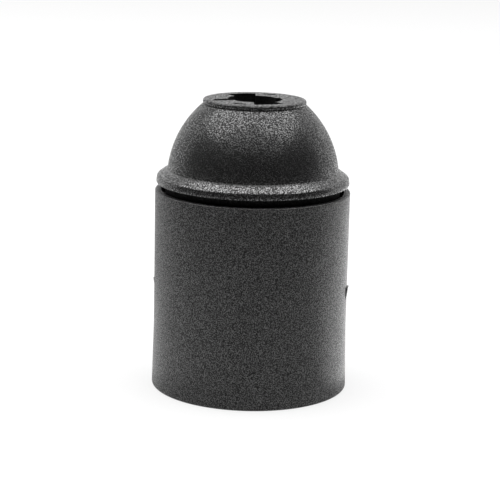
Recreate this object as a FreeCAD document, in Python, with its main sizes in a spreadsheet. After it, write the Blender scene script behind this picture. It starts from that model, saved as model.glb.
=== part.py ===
import FreeCAD
import Part
import math
import os

import Sketcher

# E27 lamp holder with a plain skirt and a screwed dome, as a parametric document.
#
# The holder stands on its mouth. Z runs up along the lamp's axis, and the origin is the
# centre of the mouth's rim. The skirt carries the lamp thread, the insert sits on the end of
# the threaded sleeve with its two contacts and terminals, and the dome screws into the skirt.

V = FreeCAD.Vector

doc = FreeCAD.newDocument("lamp_holder")
sheet = doc.addObject("Spreadsheet::Sheet", "Sizes")

# name, value in millimetres or degrees, meaning
SIZES = [
    ("skirt_height", 39.9, "height of the skirt's rim over the mouth"),
    ("skirt_radius", 19.4, "outer radius of the skirt above its flare"),
    ("flare", 0.3, "how far the mouth flares out"),
    ("flare_height", 13.0, "height of the flare at the mouth"),
    ("skirt_wall", 1.8, "wall of the skirt"),
    ("rim_wall", 1.25, "wall of the skirt round the dome's neck"),
    ("rim_round", 0.8, "rounding of the rim's outer edge"),
    ("rim_bevel", 0.25, "bevel of the rim's inner edge"),
    ("foot_bevel", 0.3, "bevel of the foot"),
    ("foot_face", 2.7, "width of the flat rim round the mouth"),
    ("bore_run", 2.1, "how far the neck's bore goes on below the neck"),
    ("cone_wall", 2.6, "height of the material over the mouth cone"),
    ("thread_minor", 12.25, "E27 crest radius inside the holder"),
    ("thread_depth", 1.05, "depth of the E27 thread"),
    ("thread_pitch", 3.629, "E27 pitch, seven turns to the inch"),
    ("thread_land", 0.62, "width of the thread's root"),
    ("thread_flank", 0.86, "axial width of one flank"),
    ("thread_low", 4.75, "height where the mouth cone meets the crests"),
    ("relief_step", 1.85, "depth of the relief over the thread, room for the side contact"),
    ("relief_height", 16.4, "height where the relief starts"),
    ("relief_length", 4.6, "height of the relief, up to the sleeve's end"),
    ("sleeve_wall", 1.1, "wall of the sleeve round the relief"),
    ("gusset_width", 1.2, "thickness of one gusset"),
    ("gusset_count", 6, "gussets between sleeve and outer wall"),
    ("gusset_drop", 1.6, "how far the gussets end under the sleeve"),
    ("nose_angle", -8.0, "direction of the first side nose"),
    ("nose_height", 21.0, "height of the noses' flat upper side"),
    ("nose_length", 2.4, "height of a nose"),
    ("nose_width", 3.0, "width of a nose"),
    ("nose_proud", 0.4, "how far a nose stands out"),
    ("neck_room", 0.8, "radial room for the neck's thread in the bore"),
    ("neck_wall", 1.65, "wall of the neck under its thread"),
    ("seam", 1.3, "open seam between rim and bead"),
    ("bead_inset", 0.22, "step from the skirt in to the bead"),
    ("bead_bevel", 0.4, "bevel of the bead's lower edge"),
    ("bead_height", 2.7, "height of the bead to the crease"),
    ("bead_arc", 2.15, "radius of the bead's upper side"),
    ("bead_step", 1.98, "step from the bead in to the crease under the dome"),
    ("dome_arc", 20.0, "radius of the dome's curve"),
    ("dome_wall", 1.9, "wall of the dome"),
    ("dome_bulge", 1.3, "how far the dome bulges half way up"),
    ("dome_mid_height", 7.2, "height of that bulge over the crease"),
    ("dome_rise", 13.2, "height of the dome from crease to disc"),
    ("disc_radius", 10.3, "outer radius of the top disc"),
    ("disc_height", 0.9, "visible height of the disc's lip"),
    ("disc_inset", 0.12, "step from the lip in to the dome"),
    ("disc_bevel", 0.2, "bevel of the disc's upper edge"),
    ("disc_wall", 1.8, "thickness of the disc"),
    ("entry_radius", 5.35, "cable opening"),
    ("tongue_radius", 4.6, "cable opening at the two spring tongues"),
    ("lobe_radius", 7.8, "outer end of the two wide lobes"),
    ("lobe_angle", 48.0, "width of one lobe"),
    ("key_radius", 8.3, "outer end of the key slot"),
    ("key_width", 1.9, "width of the key slot"),
    ("key_angle", 198.5, "direction of the key slot"),
    ("tongue_angle", 63.0, "width of one tongue"),
    ("tongue_turn", 57.0, "direction of the first tongue, the other lies opposite"),
    ("slit_inner", 7.05, "inner radius of the slit behind a tongue"),
    ("slit_width", 0.95, "width of that slit"),
    ("slit_angle", 19.0, "length of that slit"),
    ("slit_shift", 10.0, "turn of the slit from the middle of its tongue"),
    ("insert_gap", 0.3, "play between insert and dome or skirt"),
    ("insert_inset", 0.2, "step from the sleeve in to the insert's foot"),
    ("seat_height", 2.0, "depth of the lamp end's seat"),
    ("chamber_radius", 9.6, "chamber of the centre contact"),
    ("chamber_height", 3.4, "height of that chamber, up to the deck"),
    ("deck_wall", 2.7, "thickness of the insert's deck"),
    ("key_lug_width", 4.4, "width of the lugs that key the insert to the dome"),
    ("key_lug_wall", 2.0, "thickness of a lug"),
    ("key_lug_bite", 0.6, "how far a lug reaches into the neck's wall"),
    ("key_lug_drop", 3.3, "how far a lug ends below the bead"),
    ("platform_height", 1.3, "height of a terminal's platform"),
    ("platform_inner", 3.4, "inner end of a platform"),
    ("platform_clear", 1.8, "space between a platform's outer end and the neck"),
    ("guard_height", 4.4, "height of the guards beside a terminal"),
    ("guard_wall", 1.1, "thickness of a guard"),
    ("guard_length", 6.4, "length of a guard"),
    ("partition_wall", 1.4, "thickness of the partition between the terminals"),
    ("partition_width", 21.0, "width of the partition"),
    ("partition_height", 7.0, "height of the partition"),
    ("strip_wall", 0.8, "thickness of the contact strips"),
    ("strip_width", 6.0, "width of the contact strips"),
    ("leaf_width", 4.0, "width of the side contact's leaf"),
    ("strip_slack", 0.25, "play of a strip in its slot"),
    ("strip_end", 3.8, "distance from a terminal screw out to the strip's end"),
    ("screw_place", 9.3, "distance of a terminal screw from the axis"),
    ("screw_radius", 1.5, "radius of the M3 terminal screws"),
    ("screw_play", 0.06, "play of the screw in the tapped strip"),
    ("screw_reach", 4.6, "length of the screw under its head"),
    ("screw_head", 2.5, "radius of the screw's head"),
    ("screw_head_height", 1.9, "height of the screw's head"),
    ("screw_slot", 0.7, "width of the driver slot"),
    ("screw_slot_depth", 1.0, "depth of the driver slot"),
    ("collar_wall", 0.5, "wall of the collar drawn down round the tapped hole"),
    ("collar_height", 0.9, "height of that collar"),
    ("clamp_gap", 0.2, "gap under the clamp plate"),
    ("clamp_wall", 1.0, "thickness of the clamp plate"),
    ("clamp_length", 4.6, "length of the clamp plate"),
    ("clamp_width", 8.0, "width of the clamp plate"),
    ("clamp_lip", 0.6, "height of the clamp plate's turned ends"),
    ("rivet_step", 4.4, "distance from a terminal screw in to its rivet"),
    ("rivet_radius", 1.1, "radius of the rivets"),
    ("rivet_wall", 0.5, "wall of a rivet's tube"),
    ("rivet_head", 0.5, "how far a rivet's heads stand out round its tube"),
    ("rivet_head_height", 0.5, "height of a rivet's heads"),
    ("bend_step", 2.9, "distance from the rivet in to the centre contact's bend"),
    ("leaf_crown", 0.7, "height of the leaf's crown over the lamp end's seat"),
    ("leaf_end", 4.2, "where the centre leaf ends past the axis"),
    ("leaf_clear", 0.6, "air between the leaf's end and the rivet over it"),
    ("side_leaf_step", 0.2, "step from the crests out to the side contact's leaf"),
    ("side_leaf_rise", 0.8, "height of the side leaf's end over the relief's start"),
]


def as_size(number):
    return number if isinstance(number, Size) else Size(number, repr(float(number)))


class Size:
    """A number of the sheet, or a sum or product of them, with the expression that gives it."""

    def __init__(self, value, text):
        self.value = float(value)
        self.text = text

    def __add__(self, other):
        other = as_size(other)
        return Size(self.value + other.value, "(%s + %s)" % (self.text, other.text))

    def __sub__(self, other):
        other = as_size(other)
        return Size(self.value - other.value, "(%s - %s)" % (self.text, other.text))

    def __rsub__(self, other):
        return as_size(other) - self

    def __mul__(self, other):
        other = as_size(other)
        return Size(self.value * other.value, "(%s * %s)" % (self.text, other.text))

    def __truediv__(self, other):
        other = as_size(other)
        return Size(self.value / other.value, "(%s / %s)" % (self.text, other.text))

    def __neg__(self):
        return as_size(0) - self


class Sheet:
    """The sheet's sizes as attributes."""


S = Sheet()
for row, (name, value, meaning) in enumerate(SIZES, start=1):
    sheet.set("A%d" % row, name)
    sheet.set("B%d" % row, str(value))
    sheet.set("C%d" % row, meaning)
    sheet.setAlias("B%d" % row, name)
    setattr(S, name, Size(value, "Sizes." + name))
doc.recompute()

# sizes that follow from those of the sheet: first the radii, from the skirt inwards
S.foot_radius = S.skirt_radius + S.flare
S.mouth_radius = S.foot_radius - S.foot_face
S.cavity_radius = S.skirt_radius - S.skirt_wall
S.bore_radius = S.skirt_radius - S.rim_wall
S.neck_radius = S.bore_radius - S.neck_room
S.neck_inner = S.neck_radius - S.neck_wall
S.bead_radius = S.skirt_radius - S.bead_inset
S.crease_radius = S.bead_radius - S.bead_step
S.dome_mid = (S.crease_radius + S.disc_radius) / 2 + S.dome_bulge
S.thread_major = S.thread_minor + S.thread_depth
S.relief_radius = S.thread_minor + S.relief_step
S.sleeve_radius = S.relief_radius + S.sleeve_wall
S.insert_seat = S.sleeve_radius - S.insert_inset
S.key_lug_outer = S.neck_inner + S.key_lug_bite
S.key_lug_inner = S.key_lug_outer - S.key_lug_wall
S.platform_outer = S.neck_inner - S.platform_clear
S.side_leaf = S.thread_minor + S.side_leaf_step
S.rivet_place = S.screw_place - S.rivet_step
S.bend_place = S.rivet_place - S.bend_step
S.collar_radius = S.screw_radius + S.collar_wall

# then the heights, from the sleeve up to the terminals, and from the skirt's rim up to the disc
S.sleeve_top = S.relief_height + S.relief_length
S.side_leaf_low = S.relief_height + S.side_leaf_rise
S.seat = S.sleeve_top + S.seat_height
S.deck = S.seat + S.chamber_height
S.deck_top = S.deck + S.deck_wall
S.platform_top = S.deck_top + S.platform_height
S.strip_top = S.platform_top + S.strip_wall
S.neck_low = S.deck_top + S.insert_gap
S.bead_low = S.skirt_height + S.seam
S.crease = S.bead_low + S.bead_height
S.lip_low = S.crease + S.dome_rise
S.top = S.lip_low + S.disc_height
S.key_lug_top = S.bead_low - S.key_lug_drop


def origin_plane(body, role):
    return next(item for item in body.Origin.OriginFeatures if item.Role == role)


def new_body(name):
    body = doc.addObject("PartDesign::Body", name)
    body.Label = name
    return body


def new_sketch(body, name, role="XZ_Plane", lift=None, turn=None):
    """A sketch on one of the body's own planes, lifted along its normal or turned about Z."""
    sketch = body.newObject("Sketcher::SketchObject", name)
    sketch.AttachmentSupport = [(origin_plane(body, role), "")]
    sketch.MapMode = "FlatFace"
    if turn is not None:
        sketch.AttachmentOffset = FreeCAD.Placement(V(), FreeCAD.Rotation(V(0, 1, 0), turn.value))
        sketch.setExpression("AttachmentOffset.Rotation.Angle", turn.text)
    if lift is not None:
        sketch.AttachmentOffset = FreeCAD.Placement(V(0, 0, lift.value), FreeCAD.Rotation())
        sketch.setExpression("AttachmentOffset.Base.z", lift.text)
    return sketch


def fix_point(sketch, place, x, y):
    """Ties one point of the sketch to its two coordinates."""
    for along, size, axis in (("DistanceX", x, -2), ("DistanceY", y, -1)):
        size = as_size(size)
        if abs(size.value) < 1e-9:
            sketch.addConstraint(Sketcher.Constraint("PointOnObject", place[0], place[1], axis))
            continue
        ends = (-1, 1) + place if size.value > 0 else place + (-1, 1)
        index = sketch.addConstraint(Sketcher.Constraint(along, *ends, abs(size.value)))
        text = size.text if size.value > 0 else "-" + size.text
        sketch.setExpression("Constraints[%d]" % index, text)


def arc_between(start, end, radius):
    """The short arc between two points; a positive radius turns left, a negative one right."""
    chord = end - start
    side = V(-chord.y, chord.x, 0) / chord.Length
    rise = math.sqrt(max(radius * radius - chord.Length ** 2 / 4, 0.0))
    centre = (start + end) / 2 + side * math.copysign(rise, radius)
    first, last = (start, end) if radius > 0 else (end, start)
    angles = [math.atan2(point.y - centre.y, point.x - centre.x) for point in (first, last)]
    circle = Part.Circle(centre, V(0, 0, 1), abs(radius))
    return Part.ArcOfCircle(circle, angles[0], angles[1])


def outline(sketch, corners):
    """A closed outline. A third value on a corner makes the way to the next one an arc."""
    points = [V(as_size(c[0]).value, as_size(c[1]).value, 0) for c in corners]
    count = len(corners)
    starts, ends = [], []
    for i, corner in enumerate(corners):
        start, end = points[i], points[(i + 1) % count]
        if len(corner) == 3:
            radius = as_size(corner[2])
            index = sketch.addGeometry(arc_between(start, end, radius.value), False)
            turned = radius.value < 0
            rule = sketch.addConstraint(Sketcher.Constraint("Radius", index, abs(radius.value)))
            sketch.setExpression("Constraints[%d]" % rule, ("-" if turned else "") + radius.text)
        else:
            index = sketch.addGeometry(Part.LineSegment(start, end), False)
            turned = False
        starts.append((index, 2 if turned else 1))
        ends.append((index, 1 if turned else 2))
    for i, corner in enumerate(corners):
        sketch.addConstraint(Sketcher.Constraint("Coincident", *ends[i - 1], *starts[i]))
        fix_point(sketch, starts[i], corner[0], corner[1])


def box_outline(sketch, x0, x1, y0, y1):
    outline(sketch, [(x0, y0), (x1, y0), (x1, y1), (x0, y1)])


def round_outline(sketch, x, y, radius):
    """A circle with its centre and radius tied to sizes."""
    centre = V(as_size(x).value, as_size(y).value, 0)
    index = sketch.addGeometry(Part.Circle(centre, V(0, 0, 1), radius.value), False)
    rule = sketch.addConstraint(Sketcher.Constraint("Radius", index, radius.value))
    sketch.setExpression("Constraints[%d]" % rule, radius.text)
    fix_point(sketch, (index, 3), x, y)


def sector_outline(sketch, inner, outer, middle, width):
    """A piece of a ring between two radii, centred on a direction."""
    low = math.radians(middle.value - width.value / 2)
    high = math.radians(middle.value + width.value / 2)
    arcs = []
    for radius in (inner, outer):
        arc = Part.ArcOfCircle(Part.Circle(V(), V(0, 0, 1), radius.value), low, high)
        index = sketch.addGeometry(arc, False)
        sketch.addConstraint(Sketcher.Constraint("Coincident", index, 3, -1, 1))
        rule = sketch.addConstraint(Sketcher.Constraint("Radius", index, radius.value))
        sketch.setExpression("Constraints[%d]" % rule, radius.text)
        arcs.append(index)
    for end, turn, sign in ((1, low, "-"), (2, high, "+")):
        ray = V(math.cos(turn), math.sin(turn), 0)
        line = sketch.addGeometry(Part.LineSegment(ray * inner.value, ray * outer.value), False)
        sketch.addConstraint(Sketcher.Constraint("Coincident", line, 1, arcs[0], end))
        sketch.addConstraint(Sketcher.Constraint("Coincident", line, 2, arcs[1], end))
        rule = sketch.addConstraint(Sketcher.Constraint("Angle", line, turn))
        text = "(%s %s %s / 2) * 1 deg" % (middle.text, sign, width.text)
        sketch.setExpression("Constraints[%d]" % rule, text)


def revolve(body, sketch, name, kind="PartDesign::Revolution"):
    feature = body.newObject(kind, name)
    feature.Profile = sketch
    feature.ReferenceAxis = (sketch, ["V_Axis"])
    feature.Angle = 360
    doc.recompute()
    return feature


def extrude(body, sketch, name, length, cut=False, both=False, turned=False):
    """A pad or a pocket; both sides of the sketch, along its normal, or against it."""
    feature = body.newObject("PartDesign::Pocket" if cut else "PartDesign::Pad", name)
    feature.Profile = sketch
    feature.SideType = "Symmetric" if both else "One side"
    feature.Reversed = turned
    feature.setExpression("Length", as_size(length).text)
    doc.recompute()
    return feature


def pattern_round(body, feature, name, count):
    """Repeats a feature round the Z axis."""
    pattern = body.newObject("PartDesign::PolarPattern", name)
    pattern.Originals = [feature]
    pattern.Axis = (origin_plane(body, "Z_Axis"), [""])
    pattern.Angle = 360
    if isinstance(count, Size):
        pattern.setExpression("Occurrences", count.text)
    else:
        pattern.Occurrences = count
    doc.recompute()
    body.Tip = pattern
    return pattern


def build_skirt():
    """Outer wall, flared mouth and threaded sleeve in one moulding, open between them from above."""
    body = new_body("skirt")
    bore_low = S.neck_low - S.bore_run
    bore_step = S.bore_radius - S.cavity_radius
    wall = new_sketch(body, "skirt_section")
    outline(wall, [
        (S.mouth_radius, 0),
        (S.foot_radius - S.foot_bevel, 0),
        (S.foot_radius, S.foot_bevel),
        (S.skirt_radius, S.flare_height),
        (S.skirt_radius, S.skirt_height - S.rim_round, S.rim_round),
        (S.skirt_radius - S.rim_round, S.skirt_height),
        (S.bore_radius + S.rim_bevel, S.skirt_height),
        (S.bore_radius, S.skirt_height - S.rim_bevel),
        (S.bore_radius, bore_low),
        (S.cavity_radius, bore_low - bore_step),
        (S.cavity_radius, S.cone_wall),
        (S.sleeve_radius, S.cone_wall * 2),
        (S.sleeve_radius, S.sleeve_top),
        (S.relief_radius, S.sleeve_top),
        (S.relief_radius, S.relief_height),
        (S.thread_minor, S.relief_height - (S.relief_radius - S.thread_minor)),
        (S.thread_minor, S.thread_low),
    ])
    revolve(body, wall, "skirt_wall")

    # the lamp thread: one groove wound up from the mouth cone into the relief
    groove = new_sketch(body, "thread_section")
    depth = S.thread_major - S.thread_minor
    under = depth * 0.25
    spread = S.thread_flank * 1.25
    low = S.thread_low - S.thread_pitch * 0.6
    outline(groove, [
        (S.thread_minor - under, low),
        (S.thread_major, low + spread),
        (S.thread_major, low + spread + S.thread_land),
        (S.thread_minor - under, low + spread * 2 + S.thread_land),
    ])
    helix = body.newObject("PartDesign::SubtractiveHelix", "lamp_thread")
    helix.Profile = groove
    helix.ReferenceAxis = (groove, ["V_Axis"])
    helix.Mode = "pitch-height-angle"
    helix.Angle = 0
    helix.setExpression("Pitch", S.thread_pitch.text)
    helix.setExpression("Height", (S.relief_height - low - S.thread_flank).text)
    doc.recompute()

    # gussets stand in the gap between the sleeve and the outer wall
    gusset = new_sketch(body, "gusset_section")
    top = S.sleeve_top - S.gusset_drop
    bite = 0.3
    outline(gusset, [
        (S.sleeve_radius - bite, S.cone_wall),
        (S.cavity_radius + bite, S.cone_wall - bite),
        (S.cavity_radius + bite, top - (S.cavity_radius - S.sleeve_radius)),
        (S.sleeve_radius - bite, top),
    ])
    rib = extrude(body, gusset, "gusset", S.gusset_width, both=True)
    pattern_round(body, rib, "gussets", S.gusset_count)

    # two small noses on opposite sides, flat above and tapering down
    nose = new_sketch(body, "nose_section", turn=S.nose_angle)
    outer = S.skirt_radius + S.nose_proud
    outline(nose, [
        (S.skirt_radius - S.nose_proud, S.nose_height - S.nose_length),
        (S.skirt_radius, S.nose_height - S.nose_length),
        (outer, S.nose_height - S.nose_length * 0.4),
        (outer, S.nose_height),
        (S.skirt_radius - S.nose_proud, S.nose_height),
    ])
    knob = extrude(body, nose, "nose", S.nose_width, both=True)
    pattern_round(body, knob, "noses", 2)
    return body


def build_dome():
    """Cap with bead and neck, open below, with the keyed cable opening in its flat disc."""
    body = new_body("dome")
    neck = S.neck_radius
    bevel = S.rim_bevel * 2
    shell = new_sketch(body, "dome_section")
    outline(shell, [
        (0, S.top - S.disc_wall),
        (S.disc_radius - S.dome_wall + 0.6, S.top - S.disc_wall),
        (S.dome_mid - S.dome_wall, S.crease + S.dome_mid_height),
        (S.crease_radius - S.dome_wall, S.crease),
        (S.neck_inner, S.bead_low),
        (S.neck_inner, S.neck_low),
        (neck - bevel, S.neck_low),
        (neck, S.neck_low + bevel),
        (neck, S.bead_low),
        (S.bead_radius - S.bead_bevel, S.bead_low),
        (S.bead_radius, S.bead_low + S.bead_bevel, S.bead_arc),
        (S.crease_radius, S.crease, S.dome_arc),
        (S.disc_radius - S.disc_inset, S.lip_low),
        (S.disc_radius, S.lip_low),
        (S.disc_radius, S.top - S.disc_bevel),
        (S.disc_radius - S.disc_bevel, S.top),
        (0, S.top),
    ])
    revolve(body, shell, "dome_shell")

    # the cable opening: a hole narrowed by two tongues, with two lobes and a key slot
    depth = S.disc_wall * 2
    hole = new_sketch(body, "tongue_hole_section", "XY_Plane", lift=S.top)
    round_outline(hole, 0, 0, S.tongue_radius)
    extrude(body, hole, "tongue_hole", depth, cut=True)
    inner = S.tongue_radius * 0.5
    lobe_turn = S.tongue_turn + (S.tongue_angle + S.lobe_angle) / 2
    slit_turn = S.tongue_turn + S.slit_shift
    cuts = [
        ("entry", inner, S.entry_radius, S.tongue_turn + 90, 180 - S.tongue_angle),
        ("lobe", inner, S.lobe_radius, lobe_turn, S.lobe_angle),
        ("slit", S.slit_inner, S.slit_inner + S.slit_width, slit_turn, S.slit_angle),
    ]
    for name, low, high, middle, angle in cuts:
        part = new_sketch(body, name + "_section", "XY_Plane", lift=S.top)
        sector_outline(part, low, high, middle, angle)
        cut = extrude(body, part, name, depth, cut=True)
        pattern_round(body, cut, name + "_pair", 2)
    slot = new_sketch(body, "key_slot_section", turn=S.key_angle)
    box_outline(slot, inner, S.key_radius, S.top - depth, S.top + 1)
    extrude(body, slot, "key_slot", S.key_width, cut=True, both=True)

    # grooves inside the neck that run on the insert's two lugs
    groove = new_sketch(body, "lug_groove_section", "YZ_Plane")
    reach = S.key_lug_outer + S.insert_gap
    groove_top = S.key_lug_top + S.insert_gap
    box_outline(groove, S.neck_inner - 1, reach, S.neck_low - 1, groove_top)
    cut = extrude(body, groove, "lug_groove", S.key_lug_width + S.insert_gap * 2, cut=True, both=True)
    pattern_round(body, cut, "lug_grooves", 2)
    return body


def build_insert():
    """Contact carrier: a foot on the sleeve, a flange under the neck, terminals on its deck."""
    body = new_body("insert")
    top = S.deck_top
    flange = S.cavity_radius - S.insert_gap
    section = new_sketch(body, "insert_section")
    outline(section, [
        (0, S.deck),
        (S.chamber_radius, S.deck),
        (S.chamber_radius, S.seat),
        (S.thread_minor, S.seat),
        (S.thread_minor, S.sleeve_top),
        (S.insert_seat, S.sleeve_top),
        (S.insert_seat, S.deck),
        (flange, S.deck),
        (flange, top),
        (0, top),
    ])
    revolve(body, section, "insert_disc")

    lugs = new_sketch(body, "lug_section", "YZ_Plane")
    box_outline(lugs, S.key_lug_inner, S.key_lug_outer, top - 1, S.key_lug_top)
    lug = extrude(body, lugs, "lug", S.key_lug_width, both=True)
    pattern_round(body, lug, "lugs", 2)

    wall = new_sketch(body, "partition_section", "YZ_Plane")
    half = S.partition_width / 2
    box_outline(wall, -half, half, top - 1, top + S.partition_height)
    extrude(body, wall, "partition", S.partition_wall, both=True)

    # each terminal has a platform, and two guards that keep its clamp plate from turning
    rest = new_sketch(body, "platform_section", "XZ_Plane")
    platform = S.platform_top
    box_outline(rest, S.platform_inner, S.platform_outer, top - 1, platform)
    guard_inner = S.clamp_width / 2 + S.insert_gap
    block = extrude(body, rest, "platform", guard_inner * 2, both=True)
    pattern_round(body, block, "platforms", 2)
    guard = new_sketch(body, "guard_section", "XY_Plane", lift=top - 1)
    guard_low = S.screw_place - S.guard_length / 2
    box_outline(guard, guard_low, guard_low + S.guard_length, guard_inner, guard_inner + S.guard_wall)
    box_outline(guard, guard_low, guard_low + S.guard_length, -guard_inner - S.guard_wall, -guard_inner)
    bars = extrude(body, guard, "guard", S.guard_height + 1)
    pattern_round(body, bars, "guards", 2)

    # a blind well under each screw, and a hole for each rivet
    wells = new_sketch(body, "well_section", "XY_Plane", lift=platform)
    round_outline(wells, S.screw_place, 0, S.collar_radius + S.insert_gap)
    well = extrude(body, wells, "well", platform - S.deck - 0.6, cut=True)
    pattern_round(body, well, "wells", 2)
    holes = new_sketch(body, "rivet_hole_section", "XY_Plane", lift=platform)
    round_outline(holes, S.rivet_place, 0, S.rivet_radius + S.screw_play)
    hole = extrude(body, holes, "rivet_hole", platform - S.deck + 1, cut=True)
    pattern_round(body, hole, "rivet_holes", 2)

    # slots that pass the two strips down through the deck
    slack = S.strip_slack
    inner_slot = new_sketch(body, "centre_slot_section", "XY_Plane", lift=platform)
    half = S.strip_width / 2 + slack
    box_outline(inner_slot, S.bend_place - slack, S.bend_place + S.strip_wall + slack, -half, half)
    through = platform - S.deck + 1
    extrude(body, inner_slot, "centre_slot", through, cut=True)
    outer_slot = new_sketch(body, "side_slot_section", "XY_Plane", lift=platform + 1)
    half = S.leaf_width / 2 + slack
    outer = S.side_leaf + S.strip_wall + slack
    box_outline(outer_slot, -outer, -S.side_leaf + slack, -half, half)
    extrude(body, outer_slot, "side_slot", platform - S.sleeve_top + 2, cut=True)
    return body


def terminal_holes(body, side, top):
    """The tapped hole with its collar, and the rivet's hole, in a strip's flat end."""
    flat = top - S.strip_wall
    ring = new_sketch(body, "collar_section", "XY_Plane", lift=flat - S.collar_height)
    round_outline(ring, S.screw_place * side, 0, S.collar_radius)
    extrude(body, ring, "collar", S.collar_height + S.strip_wall * 0.5)
    holes = new_sketch(body, "strip_hole_section", "XY_Plane", lift=top + 1)
    round_outline(holes, S.screw_place * side, 0, S.screw_radius + S.screw_play)
    round_outline(holes, S.rivet_place * side, 0, S.rivet_radius + S.screw_play)
    extrude(body, holes, "strip_holes", S.strip_wall + S.collar_height + 2, cut=True)


def build_centre_contact():
    """One strip: terminal end, bend down through the deck, and a sprung leaf under it."""
    body = new_body("centre_contact")
    top = S.strip_top
    wall = S.strip_wall
    end = S.screw_place + S.strip_end
    leaf_high = S.deck - wall * 1.4
    leaf_tip = S.deck - S.rivet_head_height - S.leaf_clear
    crown = S.seat + S.leaf_crown
    section = new_sketch(body, "centre_strip_section")
    outline(section, [
        (end, top - wall),
        (end, top),
        (S.bend_place, top),
        (S.bend_place, leaf_high),
        (0, crown + wall),
        (-S.leaf_end, leaf_tip),
        (-S.leaf_end, leaf_tip - wall),
        (0, crown),
        (S.bend_place + wall, leaf_high - wall * 0.6),
        (S.bend_place + wall, top - wall),
    ])
    extrude(body, section, "centre_strip", S.strip_width, both=True)
    terminal_holes(body, 1, top)
    return body


def build_side_contact():
    """One strip: terminal end, and a narrower leaf that hangs past the sleeve's relief."""
    body = new_body("side_contact")
    top = S.strip_top
    wall = S.strip_wall
    near = -S.platform_inner
    flat = new_sketch(body, "side_plate_section")
    box_outline(flat, -S.side_leaf, near - 0.3, top - wall, top)
    extrude(body, flat, "side_plate", S.strip_width, both=True)
    leaf = new_sketch(body, "side_leaf_section")
    bow = wall * 0.25
    outline(leaf, [
        (-S.side_leaf + wall, top),
        (-S.side_leaf - wall, top),
        (-S.side_leaf - wall, S.sleeve_top),
        (-S.side_leaf - wall + bow, S.side_leaf_low + wall * 2),
        (-S.side_leaf - wall, S.side_leaf_low),
        (-S.side_leaf, S.side_leaf_low),
        (-S.side_leaf + bow * 0.5, S.side_leaf_low + wall * 2),
        (-S.side_leaf, S.sleeve_top),
        (-S.side_leaf, top - wall),
        (-S.side_leaf + wall, top - wall),
    ])
    extrude(body, leaf, "side_leaf", S.leaf_width, both=True)
    terminal_holes(body, -1, top)
    return body


def build_clamp(name, side):
    """Clamp plate with its two ends turned up, open upwards as seen from the end."""
    body = new_body(name)
    low = S.strip_top + S.clamp_gap
    high = low + S.clamp_wall
    half = S.clamp_width / 2
    inner = half - S.clamp_wall * 0.8
    start = (S.screw_place - S.clamp_length / 2) * side
    section = new_sketch(body, "clamp_section", "YZ_Plane", lift=start)
    outline(section, [
        (-half, low),
        (half, low),
        (half, high + S.clamp_lip),
        (inner, high + S.clamp_lip),
        (inner, high),
        (-inner, high),
        (-inner, high + S.clamp_lip),
        (-half, high + S.clamp_lip),
    ])
    extrude(body, section, "clamp_plate", S.clamp_length, turned=side < 0)
    hole = new_sketch(body, "clamp_hole_section", "XY_Plane", lift=low + S.clamp_wall * 2)
    round_outline(hole, S.screw_place * side, 0, S.screw_radius + S.screw_play * 2)
    extrude(body, hole, "clamp_hole", S.clamp_wall * 3, cut=True)
    return body


def build_screw(name, side):
    """Slotted cheese-head screw, standing on its clamp plate."""
    body = new_body(name)
    seat = S.strip_top + S.clamp_gap + S.clamp_wall + S.screw_play
    chamfer = S.screw_radius * 0.3
    section = new_sketch(body, "screw_section")
    outline(section, [
        (0, seat - S.screw_reach),
        (S.screw_radius - chamfer, seat - S.screw_reach),
        (S.screw_radius, seat - S.screw_reach + chamfer),
        (S.screw_radius, seat),
        (S.screw_head, seat),
        (S.screw_head, seat + S.screw_head_height - chamfer),
        (S.screw_head - chamfer, seat + S.screw_head_height),
        (0, seat + S.screw_head_height),
    ])
    revolve(body, section, "screw_turned")
    slot = new_sketch(body, "slot_section")
    half = S.screw_slot / 2
    high = seat + S.screw_head_height
    box_outline(slot, -half, half, high - S.screw_slot_depth, high + 1)
    extrude(body, slot, "driver_slot", S.screw_head * 2 + 1, cut=True, both=True)
    body.setExpression("Placement.Base.x", (S.screw_place * side).text)
    return body


def build_rivet(name, side):
    """Tubular rivet through strip and deck, headed on both sides."""
    body = new_body(name)
    low = S.deck - S.rivet_head_height
    high = S.strip_top + S.rivet_head_height
    bore = S.rivet_radius - S.rivet_wall
    head = S.rivet_radius + S.rivet_head
    section = new_sketch(body, "rivet_section")
    outline(section, [
        (bore, low),
        (head, low),
        (head, S.deck),
        (S.rivet_radius, S.deck),
        (S.rivet_radius, S.strip_top),
        (head, S.strip_top),
        (head, high),
        (bore, high),
    ])
    revolve(body, section, "rivet_turned")
    body.setExpression("Placement.Base.x", (S.rivet_place * side).text)
    return body


parts = [
    build_skirt(),
    build_dome(),
    build_insert(),
    build_centre_contact(),
    build_side_contact(),
    build_clamp("centre_clamp", 1),
    build_clamp("side_clamp", -1),
    build_screw("centre_screw", 1),
    build_screw("side_screw", -1),
    build_rivet("centre_rivet", 1),
    build_rivet("side_rivet", -1),
]
doc.recompute()

for item in doc.Objects:
    if "Invalid" in item.State or "Error" in item.State:
        raise RuntimeError("%s did not build: %s" % (item.Label, item.State))
for body in parts:
    shape = body.Shape
    if shape.isNull() or not shape.isValid() or len(shape.Solids) != 1:
        raise RuntimeError("%s is not one sound solid" % body.Label)

os.makedirs("parts", exist_ok=True)
for body in parts:
    body.Shape.exportStep(os.path.join("parts", body.Label + ".step"))
    box = body.Shape.BoundBox
    print("%-15s %8.1f mm3  z %6.2f to %6.2f" % (body.Label, body.Shape.Volume, box.ZMin, box.ZMax))
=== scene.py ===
# %% [markdown]
# # A lamp holder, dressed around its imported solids
#
# The real object is an E27 lamp holder of black moulded plastic. A straight skirt carries the
# lamp thread, a dome screws into it from above, and between the two sits an insert with two
# brass contacts and their terminals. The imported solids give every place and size. This
# lesson makes the two mouldings again with finer edges, adds the threads, and gives each
# part its finish.

# %% Load the fixed frame
import math

import bpy
from mathutils import Matrix, Vector


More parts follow.
